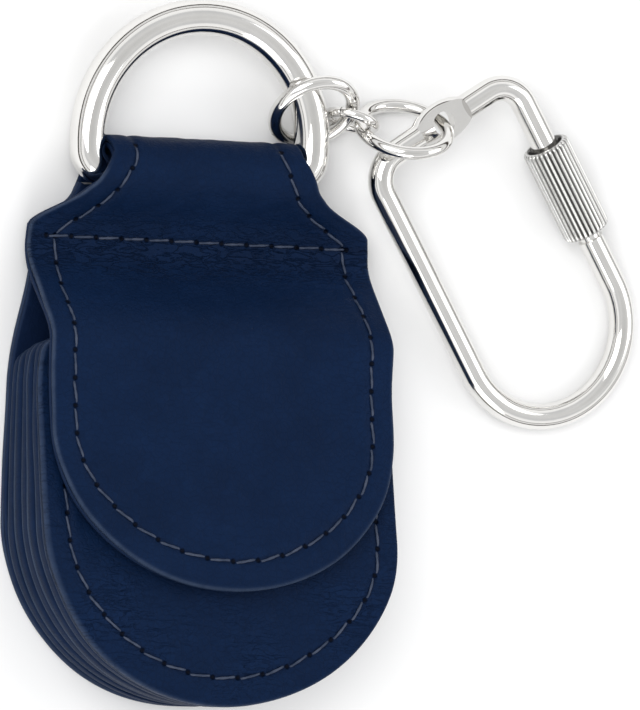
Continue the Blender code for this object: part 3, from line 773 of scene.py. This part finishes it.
def prism(name, radius, low, high, place, sides=64):
    """A round cutter between two heights. 'place' turns its own points into the world's."""
    points = []
    for z in (low, high):
        for i in range(sides):
            a = math.tau * i / sides
            points.append(tuple(place(Vector((radius * math.cos(a), radius * math.sin(a), z)))))
    faces = [list(range(sides))[::-1], list(range(sides, 2 * sides))]
    faces += [[i, (i + 1) % sides, sides + (i + 1) % sides, sides + i] for i in range(sides)]
    return plain_solid(name, points, faces)


def cut(item, tools, solver="EXACT"):
    """Takes the tools' solids out of the item's mesh."""
    for tool in tools:
        modifier = item.modifiers.new("cut", "BOOLEAN")
        modifier.operation = "DIFFERENCE"
        modifier.object = tool
        modifier.solver = solver
    bpy.context.view_layer.update()
    graph = bpy.context.evaluated_depsgraph_get()
    mesh = bpy.data.meshes.new_from_object(item.evaluated_get(graph))
    item.modifiers.clear()
    item.data = mesh
    for tool in tools:
        bpy.data.objects.remove(tool)


def magnet_window(name, height, under, depth):
    """A cutter for a magnet's hole: this far under a face whose height is a function of y, and this deep."""
    slope = float(height(np.array(MAGNET_Y + 0.0005)) - height(np.array(MAGNET_Y - 0.0005)))
    turn = math.atan2(slope, 0.001)
    y = MAGNET_Y + under * math.sin(turn)
    z = float(height(np.array(MAGNET_Y))) - under * math.cos(turn)
    to_world = Matrix.Translation((POUCH_X, y, z)) @ Matrix.Rotation(turn, 4, "X")
    return prism(name, MAGNET_R + 0.00013, -depth / 2.0, depth / 2.0, lambda point: to_world @ point)


cut(lining, [magnet_window("window_a", flap_top, OUTER_T + GAP + LINING_T / 2.0, 0.00095)], solver="MANIFOLD")
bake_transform(lining)
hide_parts("flap_lining")

# ---------------- the back


def whole_centre(y):
    return np.where(y < YOKE_SEAM_Y, pouch_centre(y), neck_centre(y))


def level_path(z, start_y, end_y):
    return Path([(start_y, z), (end_y, z)])


def u_outline(half, path, tip_y, inset=0.0):
    """Half of a U: down the left side by its half width, then round the foot."""
    y = np.linspace(path.y[0], ARC_Y, 1800)
    side = np.column_stack([-(half(y) - inset), path.find(y)])
    return np.vstack([side, round_end(path, POUCH_HALF, ARC_Y, tip_y, inset)])


def u_seam(left, path, from_y):
    """The seam inside a U outline, in plan, down its left and up its right."""
    side = evenly(left, 1500)
    share = ease((side[:, 1] - path.find(ARC_Y) - 0.003) / 0.012)
    seam = side + inward_of(side) * (0.00235 + 0.0006 * share)[:, None]
    seam[-1, 0] = 0.0
    return mirrored(seam[seam[:, 1] > path.find(from_y)])


BACK_PATH = level_path(OUTER_T, JOIN_Y, FOOT_Y)
BACK_LEFT = u_outline(back_half, BACK_PATH, FOOT_Y)
BACK_SEAM = u_seam(BACK_LEFT, BACK_PATH, JOIN_Y - 0.0004)
S_ARC_BACK = float(BACK_PATH.find(ARC_Y))


def back_under(x, y, s, seams):
    return 0.000012 * (1.0 + waves(x, y, 0.004, 7, 41)) - seam_groove(seams["seam"][1], 0.00016, 0.00034)


back = sheet(
    "leather_back", BACK_PATH, BACK_LEFT, S_ARC_BACK, whole_centre, OUTER_T, leather_back_mat,
    rims=(0.00014, 0.0003), wobble=0.00005, seed=13, disp_bottom=back_under,
    seams={"seam": (BACK_SEAM, 0.0, 1.0)},
)
hold(back, "pouch", "strip_outer")

LINING_PATH = level_path(OUTER_T + GAP + LINING_T, JOIN_Y, FOOT_Y)
BACK_INNER = u_outline(back_half, LINING_PATH, FOOT_Y, inset=0.00003)
back_lining = sheet(
    "lining_back", LINING_PATH, BACK_INNER, S_ARC_BACK, whole_centre, LINING_T, lining_mat,
    rims=(0.00026, 0.00014), wobble=0.00006, seed=17,
)
hold(back_lining, "pouch", "strip_lining")

# ---------------- the pocket leathers

LEAVES = ("leaf_1_rear", "leaf_1_front", "leaf_2_rear", "leaf_2_front", "pocket_rear", "pocket_front")


def leaf_pitch(y):
    return (face_z(y) - STACK_BASE + GAP) / len(LEAVES)


def pocket_relief(x, y, s, seams):
    """The pocket's face: seam groove and the small pebbled wrinkles of soft leather."""
    across = seams["seam"][1]
    groove = seam_groove(across, 0.00013, lip=0.00005)
    inside = ease((across - 0.0005) / 0.003) if across.mean() > 0 else ease((-across - 0.0005) / 0.003)
    pebble = waves(x, y, 0.0017, 11, 51) * waves(x, y, 0.006, 7, 52)
    under_tip = 0.45 + 0.55 * ease((y + 0.031) / 0.004) * ease((-0.0165 - y) / 0.004)
    slow = 0.00007 * waves(x, y, 0.011, 6, 53) * inside
    return groove + 0.00003 * pebble * under_tip * inside + slow - 0.00003


FEET = (0.00002, 0.0001, 0.00006, 0.00016, 0.00012, 0.00022)      # each leaf is cut a little differently
TRIMS = (0.00002, 0.00006, 0.00012, 0.00004, 0.00008, 0.00002)

for i, name in enumerate(LEAVES):
    mouth = MOUTH_Y[i]

    def leaf_half(y):
        below = np.clip((mouth - y) / MOUTH_CORNER, 0.0, 1.0)
        return back_half(y) - MOUTH_CORNER * (1.0 - np.sqrt(1.0 - (1.0 - below) ** 2))

    def leaf_top(y):
        return STACK_BASE + leaf_pitch(y) * (i + 1.0) - GAP

    foot = FOOT_Y + FEET[i]
    ys = np.concatenate([np.linspace(mouth, ARC_Y, 300), np.linspace(ARC_Y, foot, 300)[1:]])
    path = Path(np.column_stack([ys, leaf_top(ys)]))
    left = u_outline(leaf_half, path, foot, inset=TRIMS[i])
    last = i == len(LEAVES) - 1
    options = {}
    if last:
        seam_line = u_seam(left, path, mouth - 0.001)
        options = {"seams": {"seam": (seam_line, 0.0, 1.0)}, "disp_top": pocket_relief}
        POCKET = (path, seam_line)
    piece = sheet(
        name + "_leather", path, left, float(path.find(ARC_Y)), whole_centre, lambda y: leaf_pitch(y) - GAP,
        pocket_mat if last else leaf_mat, rims=(0.0001, 0.00042) if i % 2 == 0 else (0.00042, 0.0001),
        wobble=0.00007, seed=60 + i, round_start=True, **options,
    )
    if last:
        cut(piece, [magnet_window("window_b", face_z, 0.001, 0.0036)])
    hold(piece, "pouch", name)

# ---------------- stitches


STITCH_SIDES = 12
HOLE_GAP = 0.00021          # from a needle hole's middle to the thread's end
PLY_PITCH = 0.0011          # length of one twist of the two plies


def stitch(points, normals, tangents, radius, flat, phase):
    """One bent, twisted stitch whose ends dive into their needle holes."""
    count = len(points)
    u = np.linspace(-1.0, 1.0, count)
    size = radius * np.sqrt(np.clip(1.0 - 0.55 * np.abs(u) ** 5, 0.05, 1.0))
    lift = radius * flat * 0.55 - radius * 1.9 * np.abs(u) ** 6
    cross = np.cross(tangents, normals)
    length = np.linalg.norm(points[-1] - points[0])
    phi = circle(STITCH_SIDES)
    twist = math.pi * (u[:, None] + 1.0) * length / PLY_PITCH
    r = size[:, None] * (1.0 + 0.13 * np.cos(2.0 * (phi[None, :] - phase) - twist))
    ring = (
        points[:, None, :] + cross[:, None, :] * (np.cos(phi)[None, :] * r)[:, :, None]
        + normals[:, None, :] * (lift[:, None, None] + (np.sin(phi)[None, :] * r * flat)[:, :, None])
    )
    plan = np.column_stack([
        np.repeat(np.linspace(0.0, length, count), STITCH_SIDES), np.tile(phi * radius, count),
        np.full(count * STITCH_SIDES, phase * 0.01),
    ])
    return ring.reshape(-1, 3), band_faces(count, STITCH_SIDES), plan


def stitch_row(name, body, node, seam, place, choose=None, radius=THREAD_R, flat=0.8, slant=0.11, seed=1):
    """Stitches between the needle holes of a seam. 'place' turns plan into points and normals."""
    polyline, start_at, scale = seam
    source = np.random.default_rng(seed)
    size = run(polyline)
    first, last = (0.0 - start_at) * scale, (size[-1] - start_at) * scale
    vertices, faces, plans, base = [], [], [], 0
    for k in range(math.ceil(first / PITCH - 0.02), math.floor(last / PITCH + 0.02)):
        t = np.linspace(k * PITCH + HOLE_GAP, (k + 1) * PITCH - HOLE_GAP, 17) / scale + start_at
        x, s = pick(polyline, size, t).T
        if choose is not None and not choose(x[8], s[8]):
            continue
        tilt = slant * source.uniform(0.6, 1.3)
        side = unit(np.column_stack([np.gradient(x), np.gradient(s)]))
        shift = (t - t.mean()) * tilt + 0.00003 * source.uniform(-1.0, 1.0)
        x, s = x + side[:, 1] * shift, s - side[:, 0] * shift
        points, normals = place(x, s)
        tangents = unit(np.gradient(points, axis=0))
        thick, phase = radius * source.uniform(0.93, 1.06), source.uniform(0.0, 6.0)
        v, f, plan = stitch(points, normals, tangents, thick, flat, phase)
        vertices.append(v)
        plans.append(plan)
        faces += [[i + base for i in face[::-1]] for face in f]
        base += len(v)
    piece = mesh_piece(name, np.vstack(vertices), faces, thread_mat, 60, {"plan": np.vstack(plans)})
    hold(piece, body, node)


def on_path(path, centre, n, way=1.0, extra=None):
    """Places a seam n above a path. Way: +1 for the outer side and -1 for the under side."""
    def place(x, s):
        y0 = path.at(s, 0.0)[0]
        y, z = path.at(s, n if extra is None else n + extra(x, y0))
        return np.column_stack([centre(y0) + x, y, z]), np.column_stack([0.0 * x, *path.normal(s)]) * way

    return place


SINK = -0.00006             # the seams' grooves hold the thread this far down
UNDER_R = 0.00015           # the thread on the under sides shows less
UNDER_FLAP = -(OUTER_T + GAP + LINING_T) + 0.00002


def flap_rise(x, y):
    return np.where(y < FLAP_START_Y, broad(x, y), 0.0)


on_front = on_path(PATH, neck_centre, SINK, 1.0, flap_rise)
under = on_path(PATH, neck_centre, UNDER_FLAP, -1.0, flap_rise)
for name, way, seed in (("neck_left", -1, 1), ("neck_right", 1, 2)):
    stitch_row(
        "stitches_" + name, "pouch", "thread_" + name, FRONT_SEAM, on_front,
        lambda x, s: s < S_YOKE and x * way > 0, seed=seed,
    )


def on_flap(x, s):
    return s > S_YOKE + 0.0006


stitch_row("stitches_flap", "flap", "thread_flap", FRONT_SEAM, on_front, on_flap, seed=3)
stitch_row("stitches_yoke", "pouch", "thread_yoke", YOKE_LINE, on_front, seed=4, slant=0.05)
stitch_row("stitches_flap_under", "flap", None, FRONT_SEAM, under, on_flap, seed=5, radius=UNDER_R, flat=0.5)
on_pocket = on_path(POCKET[0], whole_centre, -0.0001)
on_back = on_path(BACK_PATH, whole_centre, -OUTER_T + 0.00014, -1.0)
stitch_row("stitches_pouch", "pouch", "thread_pouch", (POCKET[1], 0.0, 1.0), on_pocket, seed=6)
stitch_row("stitches_back", "pouch", None, (BACK_SEAM, 0.0, 1.0), on_back, seed=7, radius=0.00016, flat=0.5)

# ---------------- metal


def tube(name, curve, origin, turn, radius, sides, cyclic=False, deep_radius=None):
    """Round nickel wire along a curve in a turned plane. Deep radius: across the plane, if it differs."""
    points = np.asarray([origin + turn @ Vector((x, y, 0.0)) for x, y in curve], float)
    count = len(points)
    if cyclic:
        tangent = np.roll(points, -1, axis=0) - np.roll(points, 1, axis=0)
    else:
        tangent = np.gradient(points, axis=0)
    tangent = unit(tangent)
    across = turn @ Vector((0.0, 0.0, 1.0))
    across = np.asarray(across, float) / np.linalg.norm(across)
    flat = unit(np.cross(tangent, across[None, :]))
    phi = circle(sides)
    r_flat = np.broadcast_to(radius, (count,))
    r_deep = np.broadcast_to(radius if deep_radius is None else deep_radius, (count,))
    ring = (
        points[:, None, :] + flat[:, None, :] * (np.cos(phi)[None, :] * r_flat[:, None])[:, :, None]
        + across[None, None, :] * (np.sin(phi)[None, :] * r_deep[:, None])[:, :, None]
    )
    return mesh_piece(name, ring.reshape(-1, 3), band_faces(count, sides, cyclic), nickel_mat, 50)


def arc(cx, cy, radius, start, end, count):
    turn = np.linspace(start, end, count)
    return [(cx + radius * math.cos(a), cy + radius * math.sin(a)) for a in turn]


def fix_normals(item):
    bm = bmesh.new()
    bm.from_mesh(item.data)
    bmesh.ops.recalc_face_normals(bm, faces=bm.faces)
    bm.to_mesh(item.data)
    bm.free()


def metal(item, body, node):
    fix_normals(item)
    hold(item, body, node)


RING_X, RING_WIRE, RING_ARC_Y, RING_ARC, RING_CORNER = -0.01535, 0.0018, 0.02125, 0.0123, 0.002
ring_tilt = Matrix.Rotation(math.radians(1.0), 3, "X")
arc_y = RING_ARC_Y - BAR_Y
rise = RING_CORNER - arc_y
corner_x = math.sqrt((RING_ARC - RING_CORNER) ** 2 - rise * rise)
begin = math.atan2(rise, corner_x)
flat_ring = arc(0.0, arc_y, RING_ARC, begin, math.pi - begin, 120)
flat_ring += arc(-corner_x, RING_CORNER, RING_CORNER, math.pi - begin, 3.0 * HALF_PI, 24)[1:]
flat_ring += [(x, 0.0) for x in np.linspace(-corner_x, corner_x, 30)[1:-1]]
flat_ring += arc(corner_x, RING_CORNER, RING_CORNER, -HALF_PI, begin, 24)[:-1]
ring_middle = Vector((RING_X, BAR_Y, BAR_Z))
ring_wire = tube("ring_wire", flat_ring, ring_middle, ring_tilt, RING_WIRE, 40, cyclic=True)
metal(ring_wire, "ring", "d_ring")

CHAIN = (       # body, centre, axis, radius to the wire's middle, wire radius, where the wire is cut
    ("first_link", (-0.003085, 0.024676, 0.003564), (0.043, -0.6881, 0.7243), 0.0041, 0.0007, 2.2),
    ("second_link", (0.001361, 0.023993, 0.002976), (-0.2968, -0.9402, 0.1671), 0.00241, 0.0005, 0.9),
    ("third_link", (0.006519, 0.023368, 0.004462), (-0.1024, 0.8442, 0.5262), 0.00443, 0.00066, 1.9),
)
for i, (body, centre, direction, ring_r, wire_r, cut_at) in enumerate(CHAIN, 1):
    turn = Vector(direction).to_track_quat("Z", "X").to_matrix()
    gap = 0.00003 / ring_r
    curve = arc(0.0, 0.0, ring_r, cut_at + gap, cut_at + math.tau - gap, 97)
    metal(tube(f"link_{i}_wire", curve, Vector(centre), turn, wire_r, 24), body, f"link_{i}")

POS = Vector((0.02407, 0.00424, 0.00204))
TURN = Matrix.Rotation(math.radians(33.57), 3, "Z") @ Matrix.Rotation(math.radians(4.6), 3, "X")
# the carabiner's own frame: +Y along its straight bars, the origin in the middle of its bow
WIRE, BOW, TOP, CORNER = 0.0013, 0.00895, 0.02405, 0.003
EYE_X, EYE_HOLE, EYE_LENGTH, EYE_T = 0.00004, 0.0012, 0.0058, 0.0013
SLEEVE_LOW, SLEEVE_HIGH, SLEEVE_R, BORE = 0.00595, 0.01605, 0.00245, 0.0018
STUB_END, STUD_END, STUD_R = 0.01325, 0.00885, 0.0016
GROOVE_Y, GROOVE_L, GROOVE_R = 0.00565, 0.0005, 0.00105

SIDE_X, SIDE_Y = BOW - CORNER, TOP - CORNER
wire_flat = [(BOW, y) for y in np.linspace(GROOVE_Y - GROOVE_L, 0.0, 14)[:-1]]
wire_flat += arc(0.0, 0.0, BOW, 0.0, -math.pi, 90)
wire_flat += [(-BOW, y) for y in np.linspace(0.0, SIDE_Y, 40)[1:-1]]
wire_flat += arc(-SIDE_X, SIDE_Y, CORNER, math.pi, HALF_PI, 22)
wire_flat += [(x, TOP) for x in np.linspace(-SIDE_X, SIDE_X, 60)[1:-1]]
wire_flat += arc(SIDE_X, SIDE_Y, CORNER, HALF_PI, 0.0, 22)
wire_flat += [(BOW, y) for y in np.linspace(SIDE_Y, STUB_END + 0.0003, 20)[1:]]
flat = np.array(wire_flat)
on_top = flat[:, 1] > TOP - 0.0001
swell = np.where(on_top, np.sqrt(np.clip(1.0 - ((flat[:, 0] - EYE_X) / 0.0037) ** 2, 0.0, 1.0)), 0.0)
r_flat = np.maximum(WIRE, 0.00215 * swell)
r_deep = np.full(len(flat), WIRE)
flat = np.vstack([flat, [(BOW, STUB_END + 0.0001), (BOW, STUB_END)]])
r_flat, r_deep = (np.append(r, [WIRE - 0.0001, WIRE - 0.0003]) for r in (r_flat, r_deep))
carabiner = tube("carabiner_wire", flat.tolist(), POS, TURN, r_flat, 32, deep_radius=r_deep)


def block(name, centre, size):
    """A box in the carabiner's own frame, as a cutter."""
    corners = [(sx, sy, sz) for sx in (-1, 1) for sy in (-1, 1) for sz in (-1, 1)]
    local = [Vector([centre[i] + 0.5 * size[i] * c[i] for i in range(3)]) for c in corners]
    faces = [[0, 1, 3, 2], [4, 6, 7, 5], [0, 4, 5, 1], [2, 3, 7, 6], [0, 2, 6, 4], [1, 5, 7, 3]]
    return plain_solid(name, [tuple(POS + TURN @ point) for point in local], faces)


def lathe(name, profile, material, sides, ribs, sharp, closed=False):
    """Turned about the sleeve's line: profile is (y, radius, rib share) in the carabiner's own frame."""
    phi = circle(sides)
    points, grooves = [], []
    for y, radius, share in profile:
        reach = radius * np.ones(sides) - ribs(phi, y) * share
        deep = radius - reach
        # groove share for painted shade: by the rib's depth, and all of the bore
        grooves.append(deep / max(float(deep.max()), 1e-9) if radius > BORE + 0.0002 else np.ones(sides))
        for a, r in zip(phi, reach):
            points.append(tuple(POS + TURN @ Vector((BOW + r * math.cos(a), y, r * math.sin(a)))))
    faces = band_faces(len(profile), sides, closed)
    return mesh_piece(name, np.array(points), faces, material, sharp, {"groove": np.concatenate(grooves)})


fix_normals(carabiner)
SLAB = 0.003                # the cutters that leave the eye flat
eye_size = (EYE_LENGTH, 0.007, SLAB)
flat_eye = [block(f"flat_{k}", (EYE_X, TOP, k * (EYE_T + SLAB) / 2.0), eye_size) for k in (-1, 1)]
eye_centre = Vector((EYE_X, TOP, 0.0))
eye_hole = prism("hole", EYE_HOLE, -SLAB, SLAB, lambda point: POS + TURN @ (eye_centre + point))
cut(carabiner, [*flat_eye, eye_hole])
carabiner.data.shade_smooth()
carabiner.data.set_sharp_from_angle(angle=math.radians(38))
metal(carabiner, "carabiner", "carabiner_frame")


def thread_ridge(phi, y):
    """Depth of the stud's screw thread."""
    wave = 0.5 - 0.5 * np.cos(phi - math.tau * y / 0.0005)
    return 0.00012 * wave


low = GROOVE_Y + GROOVE_L
stud_profile = [(y, GROOVE_R, 0.0) for y in (GROOVE_Y - 2.0 * GROOVE_L, GROOVE_Y, low - 0.0002)]
stud_profile += [(low - 0.0001, STUD_R - 0.00012, 0.0)]
stud_profile += [(y, STUD_R, 1.0) for y in np.linspace(low, STUD_END - 0.0002, 44)]
stud_profile += [(STUD_END - 0.0001, STUD_R - 0.0001, 0.5), (STUD_END, STUD_R - 0.0003, 0.0)]
metal(lathe("carabiner_stud", stud_profile, nickel_mat, 48, thread_ridge, 60), "carabiner", None)

RIBS, RIB_DEPTH, RIB_POWER, CHAMFER = 30, 0.00026, 2.4, 0.0004


def rib_shape(phi, y):
    return RIB_DEPTH * (0.5 - 0.5 * np.cos(phi * RIBS)) ** RIB_POWER


def chamfer(end_y, way, shares):
    """The sleeve's rounded end, whose inside lies this way along the bar."""
    return [(
        end_y + way * CHAMFER * (1.0 - math.cos(t * HALF_PI)),
        SLEEVE_R - CHAMFER * (1.0 - math.sin(t * HALF_PI)), t,
    ) for t in shares]


sleeve_profile = [(SLEEVE_HIGH - 0.0001, BORE, 0.0), (SLEEVE_HIGH, BORE + 0.0001, 0.0)]
sleeve_profile += chamfer(SLEEVE_HIGH, -1.0, np.linspace(0.0, 1.0, 5))
sleeve_profile += [(y, SLEEVE_R, 1.0) for y in np.linspace(SLEEVE_HIGH - 0.0008, SLEEVE_LOW + 0.0008, 8)]
sleeve_profile += chamfer(SLEEVE_LOW, 1.0, np.linspace(1.0, 0.0, 5))
sleeve_profile += [(SLEEVE_LOW, BORE + 0.0001, 0.0), (SLEEVE_LOW + 0.0001, BORE, 0.0)]
sleeve = lathe("ribbed_sleeve", sleeve_profile, ribbed_mat, RIBS * 10, rib_shape, 50, closed=True)
metal(sleeve, "sleeve", "screw_sleeve")

for node in ("flap_magnet", "pocket_magnet"):
    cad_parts[node].material_slots[0].material = magnet_mat

# ---------------- floor, light and camera

FLOOR = 1.5
floor_corners = [(x * FLOOR, y * FLOOR, 0.0) for x, y in ((-1, -1), (1, -1), (1, 1), (-1, 1))]
floor = plain_solid("floor", floor_corners, [(0, 1, 2, 3)])
floor.location.z = -0.00005
look = Surface("pale_floor")
speck = look.noise(look.place("Object"), 60.0, 3.0)
pale = look.mix(speck, (0.85, 0.85, 0.85, 1.0), (0.88, 0.88, 0.88, 1.0))
floor.data.materials.append(look.shade(Base_Color=pale, Roughness=0.9, Specular_IOR_Level=0.0))


def area(name, location, size, power):
    """A square light that faces the origin."""
    data = bpy.data.lights.new(name, "AREA")
    data.size = size
    data.energy = power
    item = link(bpy.data.objects.new(name, data))
    item.location = location
    item.rotation_euler = (-Vector(location)).to_track_quat("-Z", "Y").to_euler()


area("key", (-0.38, 0.16, 0.56), 0.45, 2.4)
area("side", (0.55, 0.1, 0.45), 0.4, 0.8)
area("low", (-0.1, -0.62, 0.42), 0.4, 1.3)

world = bpy.data.worlds.new("studio")
bpy.context.scene.world = world
world.use_nodes = True
studio = Nodes(world.node_tree)
coord = studio.place("Generated")
height = studio.math("SUBTRACT", studio.split(coord)[2], 0.08)
height = studio.math("MULTIPLY_ADD", studio.noise(coord, 1.6), 0.16, height)
ramp = studio.node("ShaderNodeValToRGB", [(0, height)])
STOPS = (                   # by height: floor, dark horizon, walls, dark slot, lamps, ceiling
    (0.00, (0.42, 0.4, 0.38)), (0.035, (0.04, 0.03, 0.024)), (0.12, (0.03, 0.022, 0.018)),
    (0.155, (0.86, 0.86, 0.86)), (0.34, (1.00, 1.00, 1.00)), (0.375, (0.2, 0.18, 0.165)),
    (0.415, (0.22, 0.2, 0.19)), (0.45, (1.15, 1.15, 1.15)), (0.66, (1.1, 1.1, 1.1)),
    (0.73, (0.7, 0.705, 0.72)), (0.88, (0.8, 0.8, 0.8)), (1.0, (0.64, 0.64, 0.64)),
)
elements = ramp.color_ramp.elements
for element, (place, value) in zip(elements, (STOPS[0], STOPS[-1])):
    element.position, element.color = place, value + (1.0,)
for place, value in STOPS[1:-1]:
    elements.new(place).color = value + (1.0,)
sky = world.node_tree.nodes["Background"]
studio.join(ramp.outputs[0], sky.inputs["Color"])
sky.inputs["Strength"].default_value = 1.0

TILT, ROLL, DISTANCE = math.radians(25.0), math.radians(2.75), 2.7608
AIM = Vector((0.00055, 0.00045, 0.0))
right = Vector((math.cos(TILT), 0.0, math.sin(TILT)))
up = Vector((0.0, 1.0, 0.0))
back_way = Vector((-math.sin(TILT), 0.0, math.cos(TILT)))
camera_right = right * math.cos(ROLL) + up * math.sin(ROLL)
camera_up = -right * math.sin(ROLL) + up * math.cos(ROLL)
lens = bpy.data.cameras.new("camera")
lens.lens = 1400.0
camera = link(bpy.data.objects.new("camera", lens))
spot = AIM + back_way * DISTANCE
axes = (camera_right, camera_up, back_way, spot)
camera.matrix_world = Matrix([[axis[i] for axis in axes] for i in range(3)] + [[0.0, 0.0, 0.0, 1.0]])
bpy.context.scene.camera = camera
bpy.context.scene.view_settings.view_transform = "Standard"
